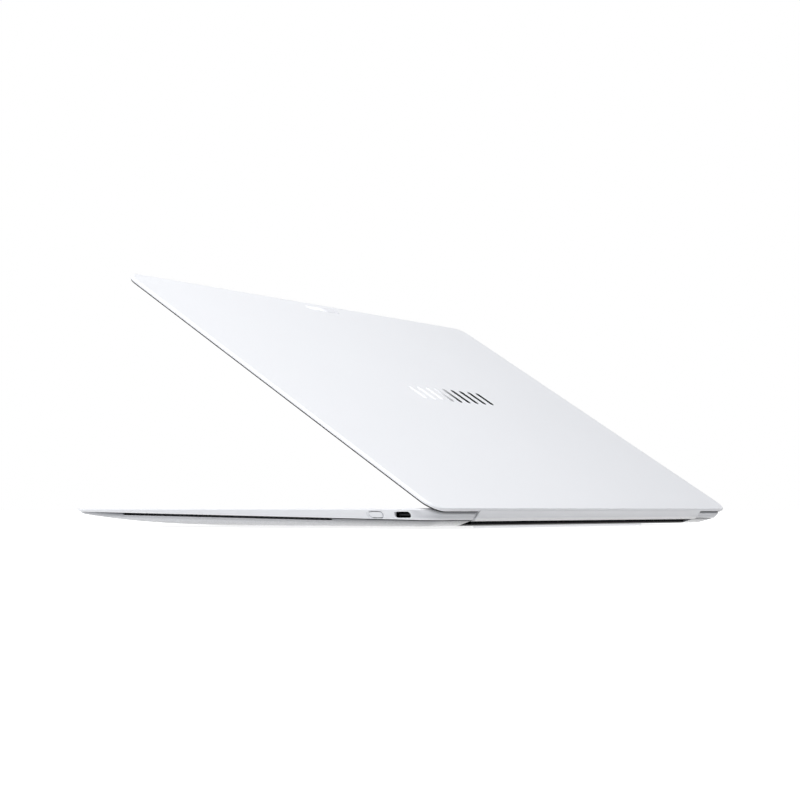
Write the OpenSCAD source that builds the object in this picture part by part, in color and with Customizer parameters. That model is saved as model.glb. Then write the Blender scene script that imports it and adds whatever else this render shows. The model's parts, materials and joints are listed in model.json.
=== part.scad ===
// Slim laptop computer, open part way.
// X runs to the user's right, Y to the rear, Z up; the origin is on the desk,
// under the middle of the base.

/* [Footprint] */
// Width of the base and the lid
width = 310; // [300:1:320]
// Depth of the base and of the closed lid
depth = 218; // [214:1:226]
// Radius of the corners seen from above
corner_r = 9; // [6:1:12]

/* [Base] */
// Height of the deck above the desk
deck_z = 9.2; // [9:0.1:9.6]
// Height of the rubber feet
foot_h = 1.0; // [0.8:0.1:1.2]
// Thickness of the deck
deck_t = 1.0; // [0.8:0.1:1.2]
// How far the side wall leans in for each millimetre down
side_lean = 0.71; // [0.6:0.01:0.8]

/* [Lid] */
// Gap between the deck and the closed lid
lid_gap = 0.1; // [0.05:0.05:0.3]
// Thickness of the lid
lid_t = 2.35; // [2.3:0.05:3]
// Angle between the lid and the deck as drawn
open_angle = 32.5; // [0:0.5:135]

/* [Hinge] */
// Distance of the hinge axis in front of the rear edge
hinge_inset = 3.2; // [3:0.1:3.6]
// Half the length of the spine between the two corner blocks
spine_half = 118; // [110:1:122]
// Radius of the hinge shafts
shaft_r = 1.2; // [1:0.1:1.4]

/* [Keyboard] */
// Distance between the centres of neighbouring keys
key_pitch = 18.7; // [18:0.1:19]
// Gap between neighbouring key caps
key_gap = 2.0; // [1.6:0.1:3]
// How far a key goes down
key_travel = 1.2; // [0.8:0.1:1.3]

/* [Touchpad] */
// Width of the touchpad
pad_w = 115; // [90:1:130]
// Depth of the touchpad
pad_d = 76; // [60:1:78]

/* [Hidden] */
$fn = 32;
eps = 0.02;
hw = width / 2;
hd = depth / 2;
shell_t = 1.2;

// hinge axis, along X
axis_y = hd - hinge_inset;
axis_z = 6.25;
block_r = 2.95;
barrel_r = 3.2;
barrel_squash = 0.845;
notch_r = 3.6;
notch_half = spine_half + 0.4;
knuckle_r = 2.0;
knuckle_len = 9;
bracket_z = 7.1;
bracket_screws = [14, 21];
wall_in = notch_half + shell_t;

// the line where the side wall meets the bottom cover falls towards the rear
crease_front_z = 7.7;
crease_slope = 0.017;
crease_deg = atan(crease_slope);

// lid levels, with the lid closed
lid_z = deck_z + lid_gap;
gasket_t = 0.55;
lid_wall_z = lid_z + gasket_t;
lid_edge_z = lid_z + 1.45;
lid_top_z = lid_z + lid_t;
lid_skin = 0.8;

// keyboard
board_units = 14.5;
key_y0 = -13;
cap_top = deck_z - 0.05;
cap_t = 1.4;
key_clear = 0.35;
fn_row = 0.62;
plate_top = cap_top - cap_t - key_travel - 0.05;
plate_t = 0.6;
board_w = board_units * key_pitch;
board_d = (5 + fn_row) * key_pitch;

// touchpad
pad_y1 = -21;
pad_t = 1.0;
pad_gap = 0.2;
pad_frame_z = deck_z - 0.05 - pad_t - 0.75;

// side openings
port_y = 92.8;
port_z = 6.4;
port_w = 8.94;
port_h = 3.1;
port_open_w = 8.34;
port_open_h = 2.56;
left_port_y = [92.8, 78.6];
button_y = 78.5;
button_w = 7;
button_h = 2.5;
button_gap = 0.15;
button_rim = 0.3;
vent_y0 = -74;
vent_y1 = 53;
vent_h = 1.1;

// display glass, front and rear edges with the lid closed
glass_y0 = 2.2 - hd;
glass_y1 = axis_y - 7;

// polished inlays on the back of the lid
insert_w = 29.6;
insert_h = 4.8;
insert_x = 1.5;
insert_y = hd - 211;
emblem_x = -8;
emblem_y = hd - 114.3;
emblem_side = 4;
emblem_bar_w = 3.6;
emblem_h = 15;
emblem_step = 0.4;
emblem_pitch = 8.4;
inlay_t = 0.5;

foot_y = 88;
foot_specs = [[0, foot_y, 170, 6], [-60, -34, 26, 6], [60, -34, 26, 6]];
// bottom screws: x, y and the height of the cover's surface there
screw_spots = [[-132, 88, 1], [0, 72, 1], [132, 88, 1], [-112, -52, 2.0], [112, -52, 2.0], [0, -52, 2.0]];
screw_head_r = 1.5;
screw_shank_r = 0.8;
fan_x = 100;
fan_y = 69;
fan_r = 20;

// ---------- shared shapes ----------

// four thin discs whose hull is one level of the body
module level(z, side, front, rear, r) {
  for (sx = [-1, 1], y = [-hd + front + r, rear - r])
    translate([sx * (hw - side - r), y, z]) cylinder(r = r, h = eps);
}

module rounded_plate(w, d, h, r) {
  linear_extrude(h) rounded_rect(w, d, r);
}

module rounded_rect(w, d, r) {
  square([w - 2 * r, d], center = true);
  square([w, d - 2 * r], center = true);
  for (sx = [-1, 1], sy = [-1, 1])
    translate([sx * (w / 2 - r), sy * (d / 2 - r)]) circle(r);
}

// box from one corner to the opposite one
module box(lo, hi) {
  translate(lo) cube(hi - lo);
}

// rounded bar along X, centred on y and z
module bar_x(x0, x1, y, z, w, h) {
  r = min(w, h) / 2 - 0.01;
  translate([x0, y, z]) rotate([90, 0, 90]) rounded_plate(w, h, x1 - x0, r);
}

module both_sides() {
  children();
  mirror([1, 0, 0]) children();
}

// local frame of the crease line: y from the front edge, z from the line
module at_crease() {
  translate([0, -hd, crease_front_z]) rotate([-crease_deg, 0, 0]) children();
}

// everything higher than `lift` above the crease line
module above_crease(lift = 0) {
  at_crease() box([-hw - 20, -20, lift], [hw + 20, depth + 20, 30]);
}

// the base as it would be if the leaning walls ran all the way down
module base_wedge() {
  low_z = 3.9;
  hull() {
    level(deck_z - eps, 0, 0, hd, corner_r);
    level(axis_z, side_lean * (deck_z - axis_z), side_lean * (deck_z - axis_z), axis_y + block_r,
          corner_r - 1);
    level(low_z, side_lean * (deck_z - low_z), side_lean * (deck_z - low_z), hd - 2.1,
          corner_r - 2);
  }
}

// the thin underside that rises towards the front
module belly() {
  hull() {
    intersection() {
      base_wedge();
      difference() {
        above_crease(-0.1);
        above_crease(-0.05);
      }
    }
    level(5.1, 5.5, 21.6, 36, corner_r);
    level(3.9, 5.8, 35, 99, corner_r);
    level(2.8, 6.8, 48, 103.5, corner_r);
    level(2.0, 9.2, 62, 102.3, corner_r);
    level(1.3, 11.5, 87, 100, corner_r);
    level(foot_h, 12.5, 118, 99, corner_r);
  }
}

// room inside the base
module base_cavity() {
  rear = axis_y - notch_r - shell_t;
  hull() {
    level(deck_z - deck_t - eps, 2.3, 2.6, rear, corner_r - 2);
    level(6.3, 4.4, 15, rear, corner_r - 2);
    level(5.0, 6.2, 37, rear, corner_r - 2);
    level(3.8, 7.7, 51, rear, corner_r - 2);
    level(3.1, 9.6, 65, rear, corner_r - 2);
    level(2.2, 12.4, 96, rear - 4, corner_r - 2);
  }
}

// pockets for the hinge brackets in the corner blocks
module hinge_pockets() {
  both_sides() {
    translate([wall_in, axis_y, axis_z]) rotate([0, 90, 0]) cylinder(r = knuckle_r + 0.1, h = 25);
    box([wall_in, axis_y - 12, 4.2], [wall_in + 25, axis_y - 1, deck_z - deck_t]);
  }
}

// room for the spine and for the lid's rear edge
module spine_notch() {
  translate([-notch_half, axis_y, axis_z]) rotate([0, 90, 0])
    cylinder(r = notch_r, h = 2 * notch_half);
  box([-notch_half, axis_y, -1], [notch_half, hd + 5, deck_z + 3]);
}

// removes the deck's rear edge outside a round of block_r about the hinge axis
module rear_round() {
  difference() {
    box([-hw - 1, axis_y, axis_z], [hw + 1, hd + 2, deck_z + 1]);
    translate([-hw - 2, axis_y, axis_z]) rotate([0, 90, 0])
      cylinder(r = block_r, h = width + 4, $fn = 64);
  }
}

module at_lid_angle() {
  translate([0, axis_y, axis_z]) rotate([-open_angle, 0, 0])
    translate([0, -axis_y, -axis_z]) children();
}

// pill outline of a side opening, through the wall
module pill_hole(side, y, w, h) {
  x0 = hw - 12;
  mirror([side < 0 ? 1 : 0, 0, 0]) bar_x(x0, hw + 2, y, port_z, w, h);
}

// ---------- base shells ----------

module top_case() color([0.90, 0.91, 0.93]) {
  difference() {
    intersection() {
      base_wedge();
      above_crease();
    }
    base_cavity();
    hinge_pockets();
    spine_notch();
    rear_round();
    key_holes();
    translate([0, pad_y1 - pad_d / 2, deck_z - 3])
      rounded_plate(pad_w + 2 * pad_gap, pad_d + 2 * pad_gap, 5, 2.2);
    pill_hole(1, port_y, port_w + 0.1, port_h + 0.1);
    for (y = left_port_y) pill_hole(-1, y, port_w + 0.1, port_h + 0.1);
    button_pocket();
    // rear vent
    box([-112, 98, 1], [112, 108, 5.1]);
    both_sides() {
      // shaft hole in the inner end of the corner block
      translate([notch_half - 0.5, axis_y, axis_z]) rotate([0, 90, 0])
        cylinder(r = shaft_r + 0.3, h = shell_t + 1);
      for (x = bracket_screws)
        translate([wall_in + 0.4 + x, axis_y - 9, 7]) cylinder(r = screw_shank_r + 0.05, h = 1.75);
    }
  }
  deck_posts();
}

// opening for the power button, with a shallow rim around it and room for its flange
module button_pocket() {
  pill_hole(1, button_y, button_w + 2 * button_gap, button_h + 2 * button_gap);
  difference() {
    pill_hole(1, button_y, button_w + 2.2, button_h + 0.6);
    translate([-button_rim, 0, 0]) base_wedge();
  }
  box([hw - 8, button_y - 4.6, port_z - 1.7], [hw - 4.95, button_y + 4.6, port_z + 1.7]);
}

module bottom_cover() color([0.84, 0.85, 0.88]) {
  difference() {
    belly();
    base_cavity();
    hinge_pockets();
    box([-notch_half, 102.3, -1], [notch_half, hd + 5, deck_z]);
    box([-notch_half, 99.5, 2.1], [notch_half, hd + 5, deck_z]);
    both_sides() side_slot();
    intake_slots();
    for (s = screw_spots) translate([s[0], s[1], 0]) {
      cylinder(r = screw_head_r + 0.1, h = s[2] + 0.6);
      cylinder(r = screw_shank_r + 0.05, h = 6);
    }
  }
}

// long slot along the crease line
module side_slot() {
  at_crease() box([hw - 9, vent_y0 + hd, -vent_h], [hw, vent_y1 + hd, 0.5]);
}

module intake_slots() {
  for (i = [-9:9], sx = [-1, 1])
    translate([sx * fan_x + i * 2.6, fan_y, -1]) rounded_plate(1.2, 30, 5, 0.59);
}

module rubber_feet() color([0.86, 0.87, 0.89]) {
  difference() {
    for (f = foot_specs) translate([f[0], f[1], 0]) rounded_plate(f[2], f[3], 2.2, f[3] / 2 - 0.01);
    belly();
  }
}

module bottom_screws() color([0.55, 0.56, 0.58]) {
  for (s = screw_spots) translate([s[0], s[1], s[2]]) {
    difference() {
      union() {
        translate([0, 0, 0.05]) cylinder(r = screw_head_r, h = 0.54);
        translate([0, 0, 0.3]) cylinder(r = screw_shank_r, h = 1.2);
      }
      cylinder(r = 0.7, h = 0.4, $fn = 6);
    }
  }
}

// ---------- keyboard ----------

// One key: [left edge, row bottom, width, height] in key units.
function row_keys(x, y, widths, h = 1, i = 0) =
  i >= len(widths) ? []
  : concat([[x, y, widths[i], h]], row_keys(x + widths[i], y, widths, h, i + 1));
function units(n, w = 1) = [for (i = [1:n]) w];

fn_list = row_keys(0, 5, units(14, board_units / 14), fn_row);
number_list = row_keys(0, 4, units(13));
backspace_list = [[13, 4, 1.5, 1]];
tab_list = [[0, 3, 1.5, 1]];
upper_list = row_keys(1.5, 3, units(13));
caps_list = [[0, 2, 1.75, 1]];
middle_list = row_keys(1.75, 2, units(11));
enter_list = [[12.75, 2, 1.75, 1]];
shift_left_list = [[0, 1, 2.25, 1]];
lower_list = row_keys(2.25, 1, units(10));
shift_right_list = [[12.25, 1, 2.25, 1]];
bottom_list = concat(row_keys(0, 0, [1.25, 1, 1, 1.25]), row_keys(9.5, 0, [1, 1]));
space_list = [[4.5, 0, 5, 1]];
arrow_list = [[11.5, 0, 1, 1], [12.5, 0, 1, 0.5], [12.5, 0.5, 1, 0.5], [13.5, 0, 1, 1]];
all_keys = concat(fn_list, number_list, backspace_list, tab_list, upper_list, caps_list,
                  middle_list, enter_list, shift_left_list, lower_list, shift_right_list,
                  bottom_list, space_list, arrow_list);

module at_key(k) {
  translate([(k[0] + k[2] / 2 - board_units / 2) * key_pitch,
             key_y0 + (k[1] + k[3] / 2) * key_pitch, 0]) children();
}

// stacked half keys are closer together than full ones
function cap_w(k) = k[2] * key_pitch - key_gap;
function cap_d(k) = k[3] * key_pitch - (k[3] == 0.5 ? key_gap / 2 + 0.5 : key_gap);

module key_caps(list) color([0.93, 0.93, 0.95]) {
  for (k = list) at_key(k) translate([0, 0, cap_top - cap_t])
    rounded_plate(cap_w(k), cap_d(k), cap_t, 1.4);
}

module key_holes() {
  for (k = all_keys) at_key(k)
    translate([0, 0, deck_z]) cube([cap_w(k) + 2 * key_clear, cap_d(k) + 2 * key_clear, 6], center = true);
}

module keyboard_plate() color([0.45, 0.46, 0.48])
  box([-board_w / 2 - 4, key_y0 - 1, plate_top - plate_t],
      [board_w / 2 + 4, key_y0 + board_d + 1, plate_top]);

// posts under the deck that the keyboard plate and the touchpad frame hang from
module deck_posts() {
  both_sides() {
    for (y = [key_y0 + 8:30:key_y0 + board_d])
      translate([board_w / 2 + 2.4, y, plate_top + 0.01])
        cylinder(r = 1.1, h = deck_z - deck_t - plate_top + 0.3);
    for (y = [pad_y1 - pad_d + 8, pad_y1 - 8])
      translate([pad_w / 2 + 4.4, y, pad_frame_z + 0.31]) cylinder(r = 1.1, h = 1);
  }
}

// ---------- touchpad ----------

module touchpad() color([0.91, 0.92, 0.94])
  translate([0, pad_y1 - pad_d / 2, deck_z - 0.05 - pad_t]) rounded_plate(pad_w, pad_d, pad_t, 2);

module touchpad_frame() color([0.6, 0.61, 0.63]) {
  difference() {
    box([-pad_w / 2 - 6, pad_y1 - pad_d, pad_frame_z], [pad_w / 2 + 6, pad_y1 + 3, pad_frame_z + 0.3]);
    box([-pad_w / 2 + 8, pad_y1 - pad_d + 12, 0], [pad_w / 2 - 8, pad_y1 - 8, deck_z]);
  }
  translate([0, pad_y1 - pad_d + 6, pad_frame_z + 0.2]) cylinder(r = 2.4, h = 0.2);
}

// ---------- inside the base ----------

module battery_pack() color([0.16, 0.17, 0.19]) {
  for (i = [-1.5:1.5])
    translate([i * 50, -6, 3.3]) rounded_plate(47, 78, 2.4, 1.5);
  box([-90, 34, 3.3], [90, 38, 4.9]);
}

module mainboard() color([0.10, 0.30, 0.20]) {
  difference() {
    union() {
      box([-74, 41, 2.7], [74, 94, 3.5]);
      box([-14, 66, 3.4], [14, 86, 4.2]);
      for (sx = [-1, 1]) box([sx * 32 - 8, 78, 3.4], [sx * 32 + 8, 90, 4.3]);
      box([-30, 44, 3.4], [-8, 56, 4.2]);
    }
    translate([0, 60, 2]) cylinder(r = 1.6, h = 3);
  }
}

module ssd_module() color([0.12, 0.32, 0.22]) {
  box([34, 45, 3.9], [64, 67, 4.5]);
  box([36, 47, 4.45], [50, 65, 5.3]);
  box([34, 45, 3.55], [38, 67, 3.95]);
}

module wifi_card() color([0.14, 0.34, 0.24]) {
  box([-62, 46, 3.55], [-44, 58, 4.2]);
  box([-60, 48, 4.15], [-49, 56, 4.9]);
}

module fan_housing() color([0.25, 0.26, 0.28]) {
  difference() {
    union() {
      translate([0, 0, 2.3]) cylinder(r = fan_r + 2.2, h = 3.5, $fn = 64);
      box([-fan_r, 0, 2.3], [fan_r, 24, 5.8]);
    }
    translate([0, 0, 2.7]) cylinder(r = fan_r + 1.4, h = 2.7, $fn = 64);
    box([-fan_r + 0.8, 0, 2.7], [fan_r - 0.8, 30, 5.4]);
    translate([0, 0, 1]) cylinder(r = 15, h = 2, $fn = 64);
  }
  // spindle
  translate([0, 0, 3]) cylinder(r = 1.0, h = 2.5);
}

module fan_rotor() color([0.13, 0.13, 0.14]) {
  difference() {
    union() {
      translate([0, 0, 3.0]) cylinder(r = 9, h = 2.2, $fn = 64);
      for (i = [0:16]) rotate(i * 360 / 17) translate([8, -0.3, 3.15]) cube([fan_r - 8.5, 0.6, 1.9]);
    }
    translate([0, 0, 2]) cylinder(r = 1.04, h = 5);
  }
}

module heat_sinks() color([0.62, 0.63, 0.65])
  both_sides() {
    box([80, 94.2, 2.6], [112, 98.3, 2.9]);
    for (i = [0:15]) box([80 + i * 2.08, 94.2, 2.85], [80.5 + i * 2.08, 98.3, 4.2]);
  }

module heat_pipe() color([0.72, 0.45, 0.30]) {
  box([-113, 94.2, 4.25], [113, 99.6, 5.7]);
  box([-16, 64, 4.25], [16, 94.5, 5.3]);
}

module rear_vent_grille() color([0.05, 0.05, 0.06]) {
  difference() {
    box([-111, 100.1, 2.15], [111, 101.5, 5.0]);
    for (i = [-43:43]) box([i * 2.5 - 0.8, 99, 2.6], [i * 2.5 + 0.8, 103, 4.6]);
  }
}

// thin pierced strip behind each side slot
module side_vent_meshes() color([0.04, 0.04, 0.05])
  both_sides() at_crease() difference() {
    box([hw - 8.6, vent_y0 + hd + 0.1, -vent_h + 0.05], [hw - 8.0, vent_y1 + hd - 0.1, -0.1]);
    for (y = [vent_y0 + hd + 1:3:vent_y1 + hd - 2])
      box([hw - 9, y, -vent_h + 0.25], [hw - 7, y + 1.8, -0.3]);
  }

module speakers() color([0.18, 0.18, 0.20])
  both_sides() difference() {
    translate([125, -2, 3.4]) rounded_plate(22, 62, 2.3, 3);
    translate([125, 14, 5.1]) cylinder(r = 7, h = 2);
  }

module io_boards() color([0.10, 0.30, 0.20]) {
  both_sides() box([128, 72, 3.95], [145.8, 97, 4.6]);
  // switch behind the power button
  box([144.5, button_y - 2, 4.5], [147.5, button_y + 2, 7.4]);
  box([147.4, button_y - 1, 6.0], [hw - 5.9, button_y + 1, 6.9]);
}

module usb_c_port(y) color([0.70, 0.71, 0.73]) {
  x1 = hw - side_lean * (deck_z - port_z) - 1.3;
  difference() {
    union() {
      bar_x(x1 - 7.2, x1, y, port_z, port_w, port_h);
      box([x1 - 7, y - 3, 4.65], [x1 - 4.5, y + 3, 5.2]);
    }
    bar_x(x1 - 6.2, x1 + 1, y, port_z, port_open_w, port_open_h);
  }
  box([x1 - 6.5, y - 3.3, port_z - 0.35], [x1 - 1, y + 3.3, port_z + 0.35]);
}

module power_button() color([0.88, 0.89, 0.91]) {
  x0 = hw - 5.5;
  intersection() {
    bar_x(x0, hw, button_y, port_z, button_w, button_h);
    translate([0.1 - button_rim, 0, 0]) base_wedge();
  }
  box([x0, button_y - 4.4, port_z - 1.5], [x0 + 0.5, button_y + 4.4, port_z + 1.5]);
}

// ---------- hinge ----------

// steel bracket under the deck; its knuckle holds the shaft
module hinge_bracket() color([0.5, 0.51, 0.53]) {
  x0 = wall_in + 0.4;
  top = deck_z - deck_t - 0.05;
  difference() {
    union() {
      translate([x0, axis_y, axis_z]) rotate([0, 90, 0]) cylinder(r = knuckle_r, h = knuckle_len);
      box([x0, axis_y - 4.3, axis_z - 1.4], [x0 + knuckle_len, axis_y - 1.1, top]);
      box([x0, axis_y - 1.2, axis_z - 1.4], [x0 + knuckle_len, axis_y, axis_z + 1.4]);
      box([x0, axis_y - 11.5, bracket_z], [x0 + 24, axis_y - 3, top]);
    }
    translate([x0 - 1, axis_y, axis_z]) rotate([0, 90, 0]) cylinder(r = shaft_r + 0.03, h = 12);
    for (x = bracket_screws) translate([x0 + x, axis_y - 9, 6]) cylinder(r = screw_shank_r + 0.05, h = 4);
  }
}

module hinge_screws() color([0.6, 0.61, 0.63])
  both_sides()
    for (x = bracket_screws) translate([wall_in + 0.4 + x, axis_y - 9, 0]) {
      translate([0, 0, bracket_z - 0.6]) cylinder(r = 1.4, h = 0.59);
      translate([0, 0, bracket_z - 0.2]) cylinder(r = screw_shank_r, h = 1.75);
    }

module hinge_shaft() color([0.72, 0.73, 0.75]) at_lid_angle()
  translate([spine_half - 12, axis_y, axis_z]) rotate([0, 90, 0]) cylinder(r = shaft_r, h = 23);

// steel arm: a web inside the spine and a foot on the lid
module hinge_arm(grow = 0) color([0.55, 0.56, 0.58]) {
  difference() {
    union() {
      box([106 - grow, axis_y - 1.3 - grow, axis_z - 2.0 - grow],
          [110 + grow, axis_y + 1.3 + grow, lid_z + 0.9 + grow]);
      box([84 - grow, axis_y - 6.9 - grow, lid_z + 0.7 - grow],
          [112 + grow, axis_y - 0.4 + grow, lid_z + 1.5 + grow]);
    }
    if (grow == 0) {
      translate([100, axis_y, axis_z]) rotate([0, 90, 0]) cylinder(r = shaft_r + 0.01, h = 20);
      for (x = [90, 98]) translate([x, axis_y - 4.5, lid_z]) cylinder(r = 0.9, h = 4);
    }
  }
}

module hinge_spine() color([0.78, 0.79, 0.82]) at_lid_angle() {
  difference() {
    translate([-spine_half, axis_y, axis_z]) rotate([90, 0, 90]) linear_extrude(2 * spine_half) {
      scale([1, barrel_squash]) circle(barrel_r, $fn = 96);
      translate([-1.5, 0]) square([1.5 + hinge_inset, lid_edge_z - axis_z - 0.05]);
    }
    both_sides() {
      hinge_arm(0.05);
      translate([100, axis_y, axis_z]) rotate([0, 90, 0]) cylinder(r = shaft_r + 0.02, h = 30);
    }
    // hollow middle
    translate([-88, axis_y, axis_z]) rotate([0, 90, 0]) cylinder(r = 2.0, h = 176);
    // way up into the lid for the display cable
    box([-22, axis_y - 1.2, axis_z - 1.1], [22, axis_y, lid_edge_z + 1]);
    box([-22, axis_y - 1.7, lid_z + 0.8], [22, axis_y - 1.1, lid_edge_z + 1]);
  }
}

// ---------- lid, drawn closed and then opened ----------

module lid_cover() color([0.94, 0.95, 0.97]) at_lid_angle() {
  difference() {
    hull() {
      level(lid_wall_z, 0.35, 0.35, hd, corner_r);
      level(lid_edge_z, 0, 0, hd, corner_r);
      level(lid_edge_z + 0.5, 0.2, 0.2, hd - 0.2, corner_r);
      level(lid_top_z - eps, 0.9, 0.9, hd - 0.9, corner_r);
    }
    hull() {
      level(lid_z - 1, 1.7, 1.7, hd - 1.7, corner_r - 1);
      level(lid_edge_z - 0.2, 1.75, 1.75, hd - 1.75, corner_r - 1);
      level(lid_top_z - lid_skin, 2.4, 2.4, hd - 2.4, corner_r - 1);
    }
    // the spine sits in the rear edge
    box([-spine_half - 0.1, axis_y - 1.6, lid_z - 1], [spine_half + 0.1, hd + 1, lid_edge_z - 0.03]);
    insert_shape(0.05);
    emblem_shape(0.05);
  }
}

module insert_shape(grow) {
  translate([insert_x, insert_y, lid_top_z - inlay_t - grow])
    rounded_plate(insert_w + 2 * grow, insert_h + 2 * grow, inlay_t + 1, insert_h / 2 - 0.01);
}

// generic mark: a row of slim rounded bars, tallest in the middle
module emblem_shape(grow) {
  for (i = [-emblem_side:emblem_side])
    translate([emblem_x + i * emblem_pitch, emblem_y, lid_top_z - inlay_t - grow])
      rounded_plate(emblem_bar_w + 2 * grow, emblem_h - emblem_step * abs(i) + 2 * grow, inlay_t + 1,
                    emblem_bar_w / 2 - 0.01);
}

module flush_with_lid() {
  intersection() {
    children();
    box([-hw, -hd, 0], [hw, hd, lid_top_z]);
  }
}

module antenna_insert() color([0.75, 0.76, 0.80]) at_lid_angle() flush_with_lid() insert_shape(0);
module lid_emblem() color([0.55, 0.56, 0.60]) at_lid_angle() flush_with_lid() emblem_shape(0);

module lid_gasket() color([0.08, 0.08, 0.09]) at_lid_angle()
  difference() {
    translate([0, 0, lid_z]) rounded_plate(width - 1.6, depth - 1.6, gasket_t - 0.01, corner_r - 1);
    translate([0, (glass_y0 + glass_y1) / 2, lid_z - 1])
      rounded_plate(width - 5.2, glass_y1 - glass_y0 + 0.2, gasket_t + 2, corner_r - 2.5);
    box([-spine_half - 0.2, axis_y - 2.5, 0], [spine_half + 0.2, hd + 1, deck_z + 9]);
  }

module display_glass() color([0.05, 0.05, 0.06]) at_lid_angle()
  translate([0, (glass_y0 + glass_y1) / 2, lid_z + 0.15])
    rounded_plate(width - 5.4, glass_y1 - glass_y0, 0.7, corner_r - 2.6);

module display_panel() color([0.20, 0.21, 0.24]) at_lid_angle()
  box([-148.5, -hd + 8, lid_z + 0.9], [148.5, 96, lid_z + 1.5]);

module camera_module() color([0.10, 0.10, 0.11]) at_lid_angle() {
  box([-9, -hd + 4.2, lid_z + 0.9], [9, -hd + 7.6, lid_z + 1.3]);
  translate([0, -hd + 5.9, lid_z + 1.25]) cylinder(r = 1.2, h = 0.25);
}

module lid_magnets() color([0.65, 0.66, 0.68]) at_lid_angle()
  for (sx = [-1, 1]) box([sx * 90 - 10, -hd + 4.2, lid_z + 0.9], [sx * 90 + 10, -hd + 7.2, lid_z + 1.5]);

module display_cable() color([0.15, 0.15, 0.17]) at_lid_angle() {
  box([-20, axis_y - 0.9, axis_z - 1.0], [20, axis_y - 0.6, lid_z + 1.1]);
  box([-20, 96.5, lid_z + 0.92], [20, axis_y - 0.6, lid_z + 1.12]);
}

// ---------- parts ----------

top_case();
bottom_cover();
rubber_feet();
bottom_screws();
keyboard_plate();
touchpad_frame();
battery_pack();
mainboard();
ssd_module();
wifi_card();
translate([-fan_x, fan_y, 0]) fan_housing();  // fan_housing_left
translate([fan_x, fan_y, 0]) fan_housing();  // fan_housing_right
translate([-fan_x, fan_y, 0]) fan_rotor();  // fan_rotor_left
translate([fan_x, fan_y, 0]) fan_rotor();  // fan_rotor_right
heat_pipe();
heat_sinks();
rear_vent_grille();
side_vent_meshes();
speakers();
io_boards();
usb_c_port(port_y);  // usb_c_port_right
mirror([1, 0, 0]) for (y = left_port_y) usb_c_port(y);  // usb_c_ports_left
power_button();
touchpad();
mirror([1, 0, 0]) hinge_bracket();  // hinge_bracket_left
hinge_bracket();  // hinge_bracket_right
hinge_screws();
mirror([1, 0, 0]) hinge_shaft();  // hinge_shaft_left
hinge_shaft();  // hinge_shaft_right
mirror([1, 0, 0]) at_lid_angle() hinge_arm();  // hinge_arm_left
at_lid_angle() hinge_arm();  // hinge_arm_right
hinge_spine();
lid_cover();
lid_gasket();
display_panel();
display_glass();
camera_module();
antenna_insert();
lid_emblem();
display_cable();
lid_magnets();
key_caps(fn_list);  // function_keys
key_caps(number_list);  // number_keys
key_caps(upper_list);  // upper_letter_keys
key_caps(middle_list);  // middle_letter_keys
key_caps(lower_list);  // lower_letter_keys
key_caps(bottom_list);  // bottom_row_keys
key_caps(space_list);  // space_bar
key_caps(enter_list);  // enter_key
key_caps(backspace_list);  // backspace_key
key_caps(tab_list);  // tab_key
key_caps(caps_list);  // caps_lock_key
key_caps(shift_left_list);  // shift_key_left
key_caps(shift_right_list);  // shift_key_right
key_caps(arrow_list);  // arrow_keys
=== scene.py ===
"""Looks for the slim laptop: smooth shells, key caps, finishes, soft studio and camera."""

import json
import math

import bmesh
import bpy
from mathutils import Matrix, Vector


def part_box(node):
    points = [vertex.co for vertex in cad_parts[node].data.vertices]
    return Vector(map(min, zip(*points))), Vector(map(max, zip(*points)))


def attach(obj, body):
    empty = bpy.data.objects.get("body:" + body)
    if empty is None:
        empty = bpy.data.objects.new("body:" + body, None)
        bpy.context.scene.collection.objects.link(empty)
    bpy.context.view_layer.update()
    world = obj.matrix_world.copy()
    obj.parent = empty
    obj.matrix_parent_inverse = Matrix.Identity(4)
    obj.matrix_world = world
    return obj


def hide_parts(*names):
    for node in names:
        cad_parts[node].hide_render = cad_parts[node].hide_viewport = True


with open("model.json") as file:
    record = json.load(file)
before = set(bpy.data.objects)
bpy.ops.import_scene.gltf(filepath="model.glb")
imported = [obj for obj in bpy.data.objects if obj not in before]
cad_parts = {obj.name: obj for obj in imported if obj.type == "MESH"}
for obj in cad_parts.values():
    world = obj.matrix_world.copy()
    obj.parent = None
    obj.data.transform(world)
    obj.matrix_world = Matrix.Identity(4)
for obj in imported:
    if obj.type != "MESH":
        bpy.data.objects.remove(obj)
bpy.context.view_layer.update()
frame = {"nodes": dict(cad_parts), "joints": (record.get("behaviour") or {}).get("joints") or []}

MM = 0.001


def node_box_mm(node):
    """A CAD node's corners in millimetres."""
    low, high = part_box(node)
    return low / MM, high / MM


# ---------------------------------------------------------------- driving sizes, in mm

CASE_LOW, CASE_HIGH = node_box_mm("top_case")
HALF_W = CASE_HIGH.x
FRONT = CASE_LOW.y
REAR = -FRONT
DECK = CASE_HIGH.z
HINGE = next(j for j in frame["joints"] if j["name"] == "lid_hinge")
AXIS = Vector(HINGE["pos_m"]) / MM
OPEN_ANGLE = math.radians(-HINGE["range_deg"][0])

CORNER_R = 9.0
WALL_LEAN = 0.71
CREASE_Z = 7.7
CREASE_FALL = 0.017
BLOCK_R = 2.95
NOTCH_R = 3.6
BARREL_R = 3.2
BARREL_SQUASH = 0.845
SPINE_HALF = node_box_mm("hinge_spine")[1].x
NOTCH_HALF = SPINE_HALF + 0.4
DECK_T = 1.0
CAVITY_REAR = AXIS.y - NOTCH_R - 1.2

LID_INNER = DECK + 0.1
LID_WALL = LID_INNER + 0.55
LID_CREASE = LID_INNER + 1.45
LID_TOP = LID_INNER + 2.35
LID_SKIN = 0.8

VENT_Y = (-74.0, 53.0)
VENT_H = 1.1
VENT_DROP = 0.62


# ---------------------------------------------------------------- mesh helpers

def middle(low, high):
    """The point halfway between two corners."""
    return (low + high) / 2


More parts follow.
